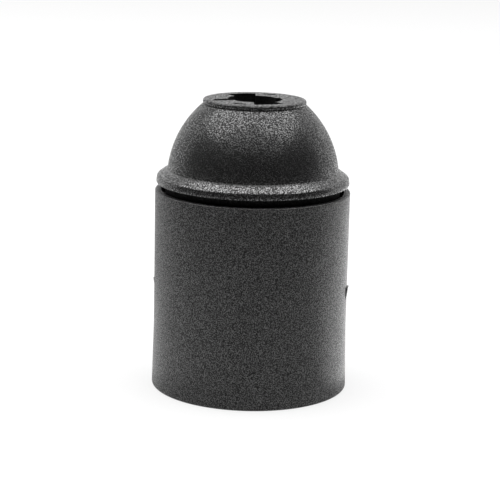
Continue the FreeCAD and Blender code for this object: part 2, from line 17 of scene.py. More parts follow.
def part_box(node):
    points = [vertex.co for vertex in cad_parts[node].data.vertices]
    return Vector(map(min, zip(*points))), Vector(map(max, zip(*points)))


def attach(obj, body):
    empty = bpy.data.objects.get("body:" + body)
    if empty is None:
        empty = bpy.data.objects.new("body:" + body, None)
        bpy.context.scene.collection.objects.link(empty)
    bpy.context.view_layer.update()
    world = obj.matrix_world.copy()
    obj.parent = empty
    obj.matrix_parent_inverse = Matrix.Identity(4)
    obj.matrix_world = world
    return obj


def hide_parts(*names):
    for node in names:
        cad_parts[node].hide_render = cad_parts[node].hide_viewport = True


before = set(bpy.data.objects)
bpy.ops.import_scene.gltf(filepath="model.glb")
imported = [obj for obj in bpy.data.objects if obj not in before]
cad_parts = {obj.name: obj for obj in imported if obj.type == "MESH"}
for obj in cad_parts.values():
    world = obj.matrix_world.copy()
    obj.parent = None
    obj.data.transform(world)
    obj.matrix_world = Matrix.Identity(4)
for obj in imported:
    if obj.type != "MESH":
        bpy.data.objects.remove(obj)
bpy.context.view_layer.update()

scene = bpy.context.scene
scene.view_settings.view_transform = "Standard"
print("nodes:", sorted(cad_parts))

# %% [markdown]
# ## The places that the pieces share
#
# Everything is in metres. The heights and radii that two pieces share are read from the
# solids' boxes, so the dressed pieces stay where the solids are. They could be typed in as
# numbers, but then a change to the solids would leave the pieces behind. The steps between
# them are plain numbers in millimetres.

# %% Read the shared heights and radii
MM = 0.001
skirt_low, skirt_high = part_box("skirt")
dome_low, dome_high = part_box("dome")
insert_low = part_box("insert")[0]

rim = skirt_high.z                    # the skirt's upper rim
foot = skirt_high.y                   # radius of the mouth, its widest place
wall = foot - 0.3 * MM                # radius of the straight skirt
bore = wall - 1.25 * MM               # bore that takes the dome's neck
neck = bore - 0.8 * MM                # root of the neck's thread
neck_low = dome_low.z                 # lower end of the neck
top = dome_high.z                     # face of the top disc
bead = dome_high.y                    # radius of the bead under the dome
bead_low = rim + 1.4 * MM             # lower edge of the bead, over the open seam
crease = bead_low + 2.75 * MM         # where the dome rises out of the bead
print("rim %.1f mm, foot radius %.1f mm, top %.1f mm, bead radius %.2f mm"
      % (rim / MM, foot / MM, top / MM, bead / MM))

# %% [markdown]
# ## Drawing and turning a half section
#
# Most of this object is round. On a lathe one would turn it, and here the same is done by
# drawing half of its section as a chain of edges and spinning that chain about the axis. The
# chain starts as one vertex and grows by extruding it from corner to corner. A corner may
# carry a radius, because no moulded edge is sharp: real edges catch a thin line of light.

# %% Helpers that draw a section and spin it
merge_distance = 0.0005 * MM          # vertices nearer than this are one


def only(piece):
    """Selects this piece alone and makes it active."""
    if bpy.context.object and bpy.context.object.mode != "OBJECT":
        bpy.ops.object.mode_set(mode="OBJECT")
    bpy.ops.object.select_all(action="DESELECT")
    piece.select_set(True)
    bpy.context.view_layer.objects.active = piece


def rounded(corners, steps=4):
    """Points of a closed outline, with each corner (r, z, radius) turned into a small arc."""
    points = []
    count = len(corners)
    for i, corner in enumerate(corners):
        here = Vector(corner[:2])
        if len(corner) < 3:
            points.append(here)
            continue
        back = (Vector(corners[i - 1][:2]) - here).normalized()
        ahead = (Vector(corners[(i + 1) % count][:2]) - here).normalized()
        half = back.angle(ahead) / 2
        reach = corner[2] / math.tan(half)
        centre = here + (back + ahead).normalized() * (corner[2] / math.sin(half))
        first = here + back * reach - centre
        turn = first.angle_signed(here + ahead * reach - centre)
        for step in range(steps + 1):
            angle = -turn * step / steps
            c, s = math.cos(angle), math.sin(angle)
            points.append(centre + Vector((first.x * c - first.y * s, first.x * s + first.y * c)))
    return points


def draw_section(name, points):
    """One closed chain of edges in the XZ plane, grown from a single vertex."""
    bpy.ops.object.select_all(action="DESELECT")
    bpy.ops.mesh.primitive_plane_add(size=1 * MM)
    piece = bpy.context.object
    piece.name = name
    bpy.ops.object.mode_set(mode="EDIT")
    bpy.ops.mesh.merge(type="CENTER")
    place = Vector((0, 0))
    for i, point in enumerate(list(points) + [points[0]]):
        step = Vector((point[0] - place[0], 0, point[1] - place[1]))
        if i == 0:
            bpy.ops.transform.translate(value=step)
        else:
            bpy.ops.mesh.extrude_vertices_move(TRANSFORM_OT_translate={"value": step})
        place = point
    bpy.ops.mesh.select_all(action="SELECT")
    bpy.ops.mesh.remove_doubles(threshold=merge_distance)
    return piece


def finish_mesh(piece, angle=30):
    """Merges what touches, turns all faces outwards and shades the round parts smooth."""
    only(piece)
    bpy.ops.object.mode_set(mode="EDIT")
    bpy.ops.mesh.select_all(action="SELECT")
    bpy.ops.mesh.remove_doubles(threshold=merge_distance)
    bpy.ops.mesh.normals_make_consistent(inside=False)
    bpy.ops.object.mode_set(mode="OBJECT")
    bpy.ops.object.shade_smooth_by_angle(angle=math.radians(angle))
    print("%-16s %6d faces" % (piece.name, len(piece.data.polygons)))
    return piece


def spin_section(name, points, steps=240):
    """A turned piece: the closed section goes once round the axis."""
    piece = draw_section(name, points)
    bpy.ops.mesh.spin(steps=steps, angle=math.tau, center=(0, 0, 0), axis=(0, 0, 1))
    bpy.ops.object.mode_set(mode="OBJECT")
    return finish_mesh(piece)


def arc(start, end, radius, steps):
    """Points of an arc that bulges away from the axis, without its two ends."""
    start, end = Vector(start), Vector(end)
    chord = end - start
    side = Vector((-chord.y, chord.x)).normalized()
    centre = (start + end) / 2 + side * math.sqrt(radius ** 2 - chord.length ** 2 / 4)
    low = math.atan2(start.y - centre.y, start.x - centre.x)
    high = math.atan2(end.y - centre.y, end.x - centre.x)
    angles = [low + (high - low) * i / steps for i in range(1, steps)]
    return [centre + Vector((math.cos(a), math.sin(a))) * radius for a in angles]


print("section tools ready")

# %% [markdown]
# ## The skirt
#
# The skirt is one moulding: an outer wall that flares a little at the mouth, a cone that
# leads the lamp in, and a sleeve that goes back up inside and carries the lamp thread. It
# could be put together from tubes, but one closed section keeps it whole, as a moulding is.
# The section starts at the mouth's flat rim and runs round the outer wall, over the rim, down
# into the gap, up over the sleeve and down its bore. The bore is drawn at the thread's root,
# and the thread itself is a piece of its own.

# %% Spin the skirt
root = 13.3 * MM                      # root of the lamp thread
crest = 12.25 * MM                    # crests of the lamp thread
cone_top = 4.75 * MM                  # height where the mouth cone meets the crests
mouth = foot - 2.7 * MM               # wide end of the mouth cone
flare_top = 13 * MM                   # height where the flare ends
relief = crest + 1.85 * MM            # relief over the thread
relief_low = 16.4 * MM                # height where the relief starts
sleeve = relief + 1.1 * MM            # outer radius of the sleeve
sleeve_top = insert_low.z             # end of the sleeve, seat of the insert
cavity = wall - 1.8 * MM              # inner radius of the outer wall
bore_low = neck_low - 2.1 * MM        # lower end of the neck's bore
bore_slope = 0.55 * MM                # height of the slope under that bore
gap_low = 2.6 * MM                    # floor of the gap, at the outer wall
gap_high = 5.2 * MM                   # floor of the gap, at the sleeve

skirt_section = rounded([
    (mouth, 0, 0.25 * MM),
    (foot, 0, 0.3 * MM),
    (wall, flare_top),
    (wall, rim, 0.3 * MM),
    (bore, rim, 0.22 * MM),
    (bore, bore_low),
    (cavity, bore_low - bore_slope, 0.3 * MM),
    (cavity, gap_low, 0.5 * MM),
    (sleeve, gap_high, 0.5 * MM),
    (sleeve, sleeve_top, 0.15 * MM),
    (relief, sleeve_top, 0.15 * MM),
    (relief, relief_low),
    (root, relief_low - (relief - root)),
    (root, cone_top - (root - crest), 0.2 * MM),
])
skirt_shell = spin_section("skirt_shell", skirt_section)

# %% [markdown]
# ## Threads
#
# A thread is a ridge wound round the axis. A bump in the material could hint at it, but the
# neck's thread comes out into the light as the dome is unscrewed, so it is a real shape. Its
# section is drawn in place, and the Screw modifier winds it up by one pitch for each turn.
# The two open ends are filled, and their outer corners are pushed back to the root, so that
# the ridge runs out as a cut thread does.

# %% A helper that winds a ridge
sunk = 0.06 * MM                      # how far a ridge reaches into its wall


def wind_ridge(name, root_radius, crest_radius, low, pitch, turns, base, land, steps=96):
    """A thread ridge on a shaft, or in a bore where the crest lies nearer the axis."""
    bite = math.copysign(sunk, crest_radius - root_radius)
    section = [
        (root_radius - bite, low - base / 2),
        (root_radius, low - base / 2),
        (crest_radius, low - land / 2),
        (crest_radius, low + land / 2),
        (root_radius, low + base / 2),
        (root_radius - bite, low + base / 2),
    ]
    piece = draw_section(name, section)
    bpy.ops.object.mode_set(mode="OBJECT")
    screw = piece.modifiers.new("wind", "SCREW")
    screw.axis = "Z"
    screw.angle = math.tau * turns
    screw.screw_offset = pitch * turns
    screw.steps = screw.render_steps = int(steps * turns)
    only(piece)
    bpy.ops.object.modifier_apply(modifier=screw.name)
    close_ends(piece, root_radius, crest_radius)
    return finish_mesh(piece, 40)


def close_ends(piece, root_radius, crest_radius):
    """Fills a ridge's two open ends, and sinks their crests to the root."""
    only(piece)
    bpy.ops.object.mode_set(mode="EDIT")
    bpy.ops.mesh.select_mode(type="VERT")
    bpy.ops.mesh.select_all(action="DESELECT")
    bpy.ops.mesh.select_non_manifold()
    bpy.ops.mesh.fill_holes(sides=0)
    bpy.ops.object.mode_set(mode="OBJECT")
    at_end = [v.index for v in piece.data.vertices if v.select
              and abs(math.hypot(v.co.x, v.co.y) - crest_radius) < 0.01 * MM]
    for vertex in piece.data.vertices:
        vertex.select = vertex.index in at_end
    bpy.ops.object.mode_set(mode="EDIT")
    shrink = root_radius / crest_radius
    bpy.ops.transform.resize(value=(shrink, shrink, 1), center_override=(0, 0, 0))
    bpy.ops.object.mode_set(mode="OBJECT")


print("thread tool ready")

# %% [markdown]
# The lamp thread is E27: a pitch of 3.629 mm, seven turns to the inch. The neck's thread is a
# coarse one of 3.5 mm. Its ridge stands on the dome's neck, and the same ridge, half a pitch
# away, stands in the skirt's bore, so the two slide past each other as the dome turns.

# %% Wind the threads
lamp_pitch = 3.629 * MM
neck_pitch = 3.5 * MM
neck_ridge = 0.6 * MM                 # how far the neck's and the bore's ridges stand out
lamp_thread = wind_ridge("lamp_thread", root, crest, low=5.4 * MM, pitch=lamp_pitch, turns=2.35,
                         base=3.0 * MM, land=1.29 * MM)
neck_thread = wind_ridge("neck_thread", neck, neck + neck_ridge, low=neck_low + 1.4 * MM,
                         pitch=neck_pitch, turns=2.2, base=1.5 * MM, land=0.8 * MM)
bore_thread = wind_ridge("bore_thread", bore, bore - neck_ridge, low=neck_low + 3.15 * MM,
                         pitch=neck_pitch, turns=1.9, base=1.5 * MM, land=0.8 * MM)

# %% [markdown]
# ## Gussets and noses
#
# Six gussets stand in the gap between the sleeve and the outer wall. One plate is modelled
# and copied round. An Array modifier could repeat it, but the six would then be one mesh, and
# copies have meshes of their own. Outside, the skirt carries two small noses, flat above and
# tapering down, on opposite sides. Each starts as a block whose corners are moved.

# %% Helpers that shape a block and copy it round
def plate(name, low, high):
    """A block between two corners, ready to be shaped in edit mode."""
    bpy.ops.object.select_all(action="DESELECT")
    middle = (Vector(low) + Vector(high)) / 2
    bpy.ops.mesh.primitive_cube_add(size=1)
    piece = bpy.context.object
    piece.name = name
    bpy.ops.object.mode_set(mode="EDIT")
    bpy.ops.transform.resize(value=Vector(high) - Vector(low), center_override=(0, 0, 0))
    bpy.ops.transform.translate(value=middle)
    bpy.ops.object.mode_set(mode="OBJECT")
    return piece


def pick(piece, wanted):
    """Selects the vertices for which wanted(place) holds, and stays in edit mode."""
    only(piece)
    bpy.ops.object.mode_set(mode="EDIT")
    bpy.ops.mesh.select_mode(type="VERT")
    bpy.ops.mesh.select_all(action="DESELECT")
    bpy.ops.object.mode_set(mode="OBJECT")
    for vertex in piece.data.vertices:
        vertex.select = wanted(vertex.co)
    bpy.ops.object.mode_set(mode="EDIT")


def soften(piece, width, segments=2):
    """Bevels a piece's sharp edges."""
    bevel = piece.modifiers.new("soften", "BEVEL")
    bevel.width = width
    bevel.segments = segments
    bevel.limit_method = "ANGLE"
    bevel.angle_limit = math.radians(35)
    only(piece)
    bpy.ops.object.modifier_apply(modifier=bevel.name)


def turned_copies(piece, count, start=0.0):
    """Turns the piece to its first place, then copies it round the axis."""
    only(piece)
    copies = [piece]
    for i in range(1, count):
        copy = piece.copy()
        copy.data = piece.data.copy()
        copy.name = "%s_%d" % (piece.name, i + 1)
        scene.collection.objects.link(copy)
        copies.append(copy)
    for i, copy in enumerate(copies):
        turn = start + math.tau * i / count
        copy.data.transform(Matrix.Rotation(turn, 4, "Z"))
        copy.data.update()
    return copies


print("block tools ready")

# %% Model one gusset and copy it round
gusset_top = sleeve_top - 1.6 * MM
gusset_half = 0.6 * MM                # half of its thickness
gusset_bite = 0.1 * MM                # how far it reaches into both walls
gusset_fall = 2.4 * MM                # how much lower it ends at the outer wall
gusset = plate("gusset", (sleeve - gusset_bite, -gusset_half, gap_low),
               (cavity + gusset_bite, gusset_half, gusset_top))
pick(gusset, lambda place: place.x > cavity and place.z > (gap_low + gusset_top) / 2)
bpy.ops.transform.translate(value=(0, 0, -gusset_fall))
bpy.ops.object.mode_set(mode="OBJECT")
soften(gusset, 0.12 * MM)
finish_mesh(gusset)
gussets = turned_copies(gusset, 6)
print(len(gussets), "gussets")

# %% Model one nose and copy it across
nose_low, nose_high = 18.6 * MM, 21 * MM
nose_half = 1.3 * MM                  # half of its width
nose_bite = 0.3 * MM                  # how far it reaches into the wall
nose_proud = 0.32 * MM                # how far it stands out
nose = plate("nose", (wall - nose_bite, -nose_half, nose_low),
             (wall + nose_proud, nose_half, nose_high))
pick(nose, lambda place: place.x > wall and place.z < (nose_low + nose_high) / 2)
bpy.ops.transform.translate(value=(-nose_proud, 0, 0))
bpy.ops.object.mode_set(mode="OBJECT")
soften(nose, 0.08 * MM)
finish_mesh(nose)
noses = turned_copies(nose, 2, math.radians(-8))
print(len(noses), "noses")

# %% [markdown]
# ## The dome
#
# The dome is a cap with a bead round its lower edge and a neck below that. Its curve is one
# arc of 20 mm, and two smaller arcs round the bead. A low disc stands on top, and its face
# carries the cable opening. A squashed sphere could give the curve, but not the bead and the
# lip, so the dome is spun like the skirt. The section runs up the outside from the neck to
# the disc, and comes back down inside.

# %% Spin the dome
lip = 10.2 * MM                       # radius of the top disc
lip_low = top - 0.9 * MM              # lower edge of the disc's lip
shoulder = lip - 0.12 * MM            # where the dome meets the lip
crease_radius = bead - 2.2 * MM       # radius where the dome meets the bead
ceiling = top - 1.8 * MM              # underside of the disc
ceiling_radius = 9 * MM               # where that underside ends
dome_wall = 1.9 * MM                  # wall of the dome at the bead
neck_inner = neck - 1.65 * MM         # inner radius of the neck

bead_start = (bead, bead_low + 0.35 * MM)
bead_side = (bead - 0.12 * MM, bead_low + 1.25 * MM)
bead_brow = (bead - 0.8 * MM, bead_low + 1.85 * MM)
bead_end = (crease_radius, crease)
dome_end = (shoulder, lip_low)
inner_bulge = (13.15 * MM, crease + 7.2 * MM)

neck_points = rounded([
    (neck_inner, bead_low),
    (neck_inner, neck_low, 0.2 * MM),
    (neck, neck_low, 0.4 * MM),
    (neck, bead_low, 0.12 * MM),
    (bead, bead_low, 0.25 * MM),
    bead_start,
])[1:-1]
disc_points = rounded([
    bead_end,
    (shoulder, lip_low, 0.05 * MM),
    (lip, lip_low, 0.2 * MM),
    (lip, top, 0.4 * MM),
    (0, top),
], 6)[1:-1]
inner_points = [(0, top), (0, ceiling), (ceiling_radius, ceiling), inner_bulge,
                (crease_radius - dome_wall, crease), (neck_inner, bead_low)]
dome_section = (
    neck_points
    + [Vector(bead_start), Vector(bead_side)] + arc(bead_side, bead_brow, 1.4 * MM, 10)
    + [Vector(bead_brow)] + arc(bead_brow, bead_end, 6 * MM, 8)
    + [Vector(bead_end)] + arc(bead_end, dome_end, 20 * MM, 40)
    + disc_points
    + [Vector(point) for point in inner_points]
)
dome_shell = spin_section("dome_shell", dome_section)

# %% [markdown]
# ## The cable opening
#
# The opening in the disc is not round: two spring tongues narrow it, two lobes widen it, and
# a key slot breaks its edge, so a cord grip can be turned home and held. It could be drawn in
# the disc's face by hand, but cutters give clean walls through the whole thickness. The main
# cutter starts as a fine cylinder whose side is pushed in or out by direction, and the key
# slot is a block.

# %% Make the cutters for the opening
def in_sector(place, middle, width):
    """True where a place lies within a sector round the axis, both angles in degrees."""
    direction = math.degrees(math.atan2(place.y, place.x))
    return abs((direction - middle + 180) % 360 - 180) < width / 2


def turn_mesh(piece, degrees):
    """Turns a piece's mesh about the axis, so that its object stays unturned."""
    piece.data.transform(Matrix.Rotation(math.radians(degrees), 4, "Z"))


entry = 5.35 * MM                     # radius of the round part of the opening
tongues = ((4.6, 57, 63), (4.6, 237, 63))         # radius in mm, direction and width in degrees
lobes = ((7.8, 112.5, 48), (7.8, 292.5, 48))
cutter_reach = 3 * MM                 # how far the cutters pass the disc's face
bpy.ops.object.select_all(action="DESELECT")
bpy.ops.mesh.primitive_cylinder_add(vertices=360, radius=entry, depth=2 * cutter_reach,
                                    location=(0, 0, top))
opening_cutter = bpy.context.object
bpy.ops.object.transform_apply(location=True)
for radius, middle, width in tongues + lobes:
    pick(opening_cutter, lambda place: in_sector(place, middle, width))
    share = radius * MM / entry
    bpy.ops.transform.resize(value=(share, share, 1), center_override=(0, 0, 0))
bpy.ops.object.mode_set(mode="OBJECT")

key_half = 0.95 * MM                  # half of the key slot's width
key_start, key_end = 2 * MM, 8.3 * MM
key_direction = 198.5                 # degrees
key_slot = plate("key_slot", (key_start, -key_half, top - cutter_reach),
                 (key_end, key_half, top + cutter_reach))
turn_mesh(key_slot, key_direction)
cutters = [opening_cutter, key_slot]
print(len(cutters), "cutters for the opening")

# %% [markdown]
# Behind each tongue lies a short slit. Its cutter is a piece of a ring: a small section spun
# by a part turn, with both ends filled, because an open cutter would leave the slit filled.
# Inside the neck, two grooves take the insert's lugs. Their cutters are blocks.

# %% Make the cutters for the slits and the grooves
slit_inner, slit_outer = 7.05 * MM, 8 * MM
slit_width = 19                       # degrees
for middle in (67, 247):
    slit = draw_section("slit", [(slit_inner, top - cutter_reach), (slit_outer, top - cutter_reach),
                                 (slit_outer, top + cutter_reach), (slit_inner, top + cutter_reach)])
    bpy.ops.mesh.spin(steps=12, angle=math.radians(slit_width), center=(0, 0, 0), axis=(0, 0, 1))
    bpy.ops.mesh.select_all(action="SELECT")
    bpy.ops.mesh.fill_holes(sides=0)
    bpy.ops.object.mode_set(mode="OBJECT")
    finish_mesh(slit)
    directions = [vertex.co.to_2d().angle_signed(Vector((1, 0))) for vertex in slit.data.vertices]
    turn_mesh(slit, middle - math.degrees(sum(directions) / len(directions)))
    cutters.append(slit)

groove_half = 2.5 * MM                # half of a groove's width
groove_inner, groove_outer = 14.2 * MM, 16.6 * MM
for degrees in (0, 180):
    groove = plate("groove", (-groove_half, groove_inner, neck_low - 1 * MM),
                   (groove_half, groove_outer, bead_low - 3 * MM))
    turn_mesh(groove, degrees)
    cutters.append(groove)
print(len(cutters), "cutters in all")

# %% [markdown]
# A Boolean modifier takes each cutter's volume out of the dome. It needs closed meshes whose
# faces point outwards, so each cutter's normals are made consistent first.

# %% Cut the dome
def cut_out(piece, cutter):
    """Takes a cutter's volume out of the piece, and removes the cutter."""
    cut = piece.modifiers.new("cut", "BOOLEAN")
    cut.operation = "DIFFERENCE"
    cut.solver = "EXACT"
    cut.object = cutter
    only(piece)
    bpy.ops.object.modifier_apply(modifier=cut.name)
    bpy.data.objects.remove(cutter)


for cutter in cutters:
    only(cutter)
    bpy.ops.object.mode_set(mode="EDIT")
    bpy.ops.mesh.select_all(action="SELECT")
    bpy.ops.mesh.normals_make_consistent(inside=False)
    bpy.ops.object.mode_set(mode="OBJECT")
    cut_out(dome_shell, cutter)
finish_mesh(dome_shell)

# %% [markdown]
# ## The finishes
#
# Both mouldings are black plastic from a spark-eroded tool. Such a tool leaves a fine, even
# grain of bumps about a fifth to a third of a millimetre wide, which breaks each reflection
# into specks. It could be modelled, but would take millions of bumps, so the material bends
# the surface instead. The grain is a shader node group with its own inputs, so each finish can
# have its own size of grain. It puts out a height for the bump and two masks: the bright tips
# of the grain, and a slow change of tone over the surface.

# %% Build the grain group
def new_group(name, inputs, outputs):
    """An empty shader node group with named sockets, and its two end nodes."""
    group = bpy.data.node_groups.new(name, "ShaderNodeTree")
    for socket, kind, value in inputs:
        made = group.interface.new_socket(socket, in_out="INPUT", socket_type=kind)
        if value is not None:
            made.default_value = value
    for socket, kind in outputs:
        group.interface.new_socket(socket, in_out="OUTPUT", socket_type=kind)
    return group, group.nodes.new("NodeGroupInput"), group.nodes.new("NodeGroupOutput")


def add(tree, kind, **settings):
    """A node with its properties and its inputs' values set."""
    node = tree.nodes.new(kind)
    for key, value in settings.items():
        if hasattr(node, key):
            setattr(node, key, value)
        else:
            node.inputs[key.replace("_", " ")].default_value = value
    return node


def remap(tree, source, low, high, to_low, to_high):
    """Stretches one range of a value onto another."""
    node = tree.nodes.new("ShaderNodeMapRange")
    for socket, value in (("From Min", low), ("From Max", high), ("To Min", to_low), ("To Max", to_high)):
        node.inputs[socket].default_value = value
    tree.links.new(source, node.inputs["Value"])
    return node.outputs["Result"]


grain, grain_in, grain_out = new_group(
    "spark_grain",
    [("Place", "NodeSocketVector", None), ("Grain Scale", "NodeSocketFloat", 4000.0)],
    [("Height", "NodeSocketFloat"), ("Tips", "NodeSocketFloat"), ("Tone", "NodeSocketFloat")])
link = grain.links.new
bumps = add(grain, "ShaderNodeTexNoise", Detail=2.0, Roughness=0.55)
link(grain_in.outputs["Place"], bumps.inputs["Vector"])
link(grain_in.outputs["Grain Scale"], bumps.inputs["Scale"])
drift = add(grain, "ShaderNodeTexNoise", Scale=160.0, Detail=3.0, Roughness=0.55)
link(grain_in.outputs["Place"], drift.inputs["Vector"])
link(bumps.outputs["Fac"], grain_out.inputs["Height"])
link(remap(grain, bumps.outputs["Fac"], 0.43, 0.64, 0, 1), grain_out.inputs["Tips"])
link(remap(grain, drift.outputs["Fac"], 0.3, 0.7, 0, 1), grain_out.inputs["Tone"])
print("grain group with", len(grain.nodes), "nodes")

# %% [markdown]
# A moulding's material places the group, colours the plastic a little paler at the grain's
# tips, and bends the surface with the grain's height. Only what varies over the surface comes
# through the nodes. Values that stay the same are set on the shader itself.

# %% A helper that makes a grained plastic
def new_material(name):
    """A material with its tree, its shader and the place on the object."""
    material = bpy.data.materials.new(name)
    material.use_nodes = True
    tree = material.node_tree
    shader = tree.nodes["Principled BSDF"]
    place = tree.nodes.new("ShaderNodeTexCoord").outputs["Object"]
    return material, tree, shader, place


def blend_colours(tree, mask, first, second):
    """A colour between two, by a mask."""
    mix = tree.nodes.new("ShaderNodeMix")
    mix.data_type = "RGBA"
    mix.inputs[6].default_value = (*first, 1)
    mix.inputs[7].default_value = (*second, 1)
    tree.links.new(mask, mix.inputs[0])
    return mix.outputs[2]


def grained_plastic(name, pale, scale, depth, gloss, rough, sparkle, crisp, lacquer):
    """Black plastic with spark-eroded grain: pits are matt and black, tips paler and polished.

    pale colours the tips, gloss and rough are the roughness of tips and pits, scale and depth
    belong to the grain. sparkle and lacquer are the coat's weight and index, and a higher
    crisp makes the tips' edges sharper.
    """
    material, tree, shader, place = new_material(name)
    link = tree.links.new
    texture = add(tree, "ShaderNodeGroup", node_tree=grain)
    texture.inputs["Grain Scale"].default_value = scale
    link(place, texture.inputs["Place"])
    mask = remap(tree, texture.outputs["Tips"], 0.5 - 0.5 / crisp, 0.5 + 0.5 / crisp, 0, 1)
    tips = blend_colours(tree, mask, (0, 0, 0), pale)
    shade = tree.nodes.new("ShaderNodeMix")
    shade.data_type = "RGBA"
    shade.blend_type = "MULTIPLY"
    shade.inputs[0].default_value = 1
    link(tips, shade.inputs[6])
    link(blend_colours(tree, texture.outputs["Tone"], (0.86, 0.86, 0.86), (1, 1, 1)), shade.inputs[7])
    link(shade.outputs[2], shader.inputs["Base Color"])
    link(remap(tree, mask, 0, 1, rough, gloss), shader.inputs["Roughness"])
    bump = add(tree, "ShaderNodeBump", Strength=1.0, Distance=depth)
    link(texture.outputs["Height"], bump.inputs["Height"])
    link(bump.outputs["Normal"], shader.inputs["Normal"])
    link(remap(tree, mask, 0, 1, 0, sparkle), shader.inputs["Coat Weight"])
    shader.inputs["Coat Roughness"].default_value = gloss
    shader.inputs["Coat IOR"].default_value = lacquer
    shader.inputs["IOR"].default_value = 1.3
    return material


print("plastic tool ready")

# %% [markdown]
# The skirt is the plainer of the two mouldings. The dome shines more, and its disc has a coarser grain. Its
# bead shines most of all, because its upward faces get a paler, glossier copy of the dome's plastic, which is
# a painted highlight. The neck and the walls of the cut openings get a darker, matt plastic as painted shade,
# so they stay black. One plastic for everything would be simpler, but would lose all this.

# %% Make the plastics
skirt_plastic = grained_plastic(
    "skirt_plastic", pale=(0.062, 0.062, 0.062), scale=5200, depth=0.03 * MM,
    gloss=0.38, rough=0.52, sparkle=0.65, crisp=1.3, lacquer=1.6)
dome_plastic = grained_plastic(
    "dome_plastic", pale=(0.017, 0.017, 0.017), scale=4000, depth=0.11 * MM,
    gloss=0.24, rough=0.50, sparkle=1.0, crisp=2.6, lacquer=1.75)
# painted highlight: a paler, glossier copy of the dome's plastic, for the bead's upward faces
bead_highlight_plastic = grained_plastic(
    "bead_highlight_plastic", pale=(0.034, 0.034, 0.034), scale=4000, depth=0.08 * MM,
    gloss=0.20, rough=0.45, sparkle=1.0, crisp=2.0, lacquer=2.0)
disc_plastic = grained_plastic(
    "disc_plastic", pale=(0.020, 0.020, 0.020), scale=2900, depth=0.15 * MM,
    gloss=0.30, rough=0.55, sparkle=1.0, crisp=1.7, lacquer=1.65)
# painted shade: a darker, matt plastic without sparkle, for the neck in the open seam and the walls of the
# cut openings, which lie in shade
painted_shade_plastic = grained_plastic(
    "painted_shade_plastic", pale=(0.006, 0.006, 0.006), scale=3300, depth=0.04 * MM,
    gloss=0.70, rough=0.90, sparkle=0.0, crisp=1.0, lacquer=1.5)
insert_plastic = grained_plastic(
    "insert_plastic", pale=(0.020, 0.020, 0.021), scale=2600, depth=0.03 * MM,
    gloss=0.30, rough=0.44, sparkle=0.5, crisp=1.0, lacquer=1.5)
plastics = (skirt_plastic, dome_plastic, bead_highlight_plastic, disc_plastic, painted_shade_plastic, insert_plastic)
print("plastics:", [plastic.name for plastic in plastics])

# %% [markdown]
# The contacts are stamped from brass strip, which shows fine rolling lines along its length
# and a faint tarnish. The rivets are brass too. The screws and clamps are plated steel,
# brighter and greyer. One group gives both: long thin streaks for the lines, and soft patches
# for the tarnish.

# %% Make the metals
rolled, rolled_in, rolled_out = new_group(
    "rolled_metal", [("Place", "NodeSocketVector", None)],
    [("Lines", "NodeSocketFloat"), ("Patches", "NodeSocketFloat")])
link = rolled.links.new
stretch = add(rolled, "ShaderNodeMapping", Scale=(60.0, 3200.0, 900.0))
link(rolled_in.outputs["Place"], stretch.inputs["Vector"])
lines = add(rolled, "ShaderNodeTexNoise", Scale=1.0, Detail=4.0, Roughness=0.6)
link(stretch.outputs["Vector"], lines.inputs["Vector"])
patches = add(rolled, "ShaderNodeTexNoise", Scale=420.0, Detail=4.0, Roughness=0.6)
link(rolled_in.outputs["Place"], patches.inputs["Vector"])
link(remap(rolled, lines.outputs["Fac"], 0.3, 0.7, 0, 1), rolled_out.inputs["Lines"])
link(remap(rolled, patches.outputs["Fac"], 0.35, 0.7, 0, 1), rolled_out.inputs["Patches"])


def strip_metal(name, clean, dull, smooth, rough):
    """A rolled metal, clean in some places and dull in others."""
    material, tree, shader, place = new_material(name)
    link = tree.links.new
    texture = add(tree, "ShaderNodeGroup", node_tree=rolled)
    link(place, texture.inputs["Place"])
    link(blend_colours(tree, texture.outputs["Patches"], clean, dull), shader.inputs["Base Color"])
    link(remap(tree, texture.outputs["Lines"], 0, 1, smooth, rough), shader.inputs["Roughness"])
    bump = add(tree, "ShaderNodeBump", Strength=0.5, Distance=0.008 * MM)
    link(texture.outputs["Lines"], bump.inputs["Height"])
    link(bump.outputs["Normal"], shader.inputs["Normal"])
    shader.inputs["Metallic"].default_value = 1
    return material


contact_brass = strip_metal("contact_brass", (0.80, 0.58, 0.27), (0.58, 0.40, 0.18), 0.22, 0.40)
plated_steel = strip_metal("plated_steel", (0.72, 0.72, 0.70), (0.55, 0.55, 0.53), 0.20, 0.36)
print("metals:", contact_brass.name, plated_steel.name)

# %% [markdown]
# ## Handing the pieces to their bodies
#
# The skirt and its parts ride on the casing, which stands still. The dome and the thread on
# its neck ride on the cap, which rises as it turns. The two new mouldings stand for their
# solids.

# %% Paint, and ride
def paint(piece, material):
    """Gives a piece one material."""
    piece.data.materials.clear()
    piece.data.materials.append(material)


for piece in [skirt_shell, lamp_thread, bore_thread] + gussets + noses:
    paint(piece, skirt_plastic)
    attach(piece, "casing")
# the neck's thread takes the painted shade of the open seam
for piece, plastic in ((dome_shell, dome_plastic), (neck_thread, painted_shade_plastic)):
    paint(piece, plastic)
    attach(piece, "cap")
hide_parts("skirt")
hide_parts("dome")
print("riding:", len(gussets) + len(noses) + 5, "pieces")

# %% [markdown]
# The dome is one moulding, so it stays one mesh, and its faces choose among four finishes by where they lie.
# Two of these are painted light. The neck in the open seam and the walls of the cut openings take a darker,
# matt plastic as painted shade. The bead's upward faces take a paler, glossier one as a painted highlight.
# The dome could be split at the borders instead, but that would leave open edges.

# %% Share out the dome's finishes
for plastic in (painted_shade_plastic, bead_highlight_plastic, disc_plastic):
    dome_shell.data.materials.append(plastic)
COVER, PAINTED_SHADE, BEAD_HIGHLIGHT, DISC = range(4)    # the dome's material slots
cut_low = 52 * MM                     # the cut edges of the openings lie above this
cut_radius = 9 * MM                   # and within this radius
face_low = top - 0.3 * MM             # the disc's face lies above this


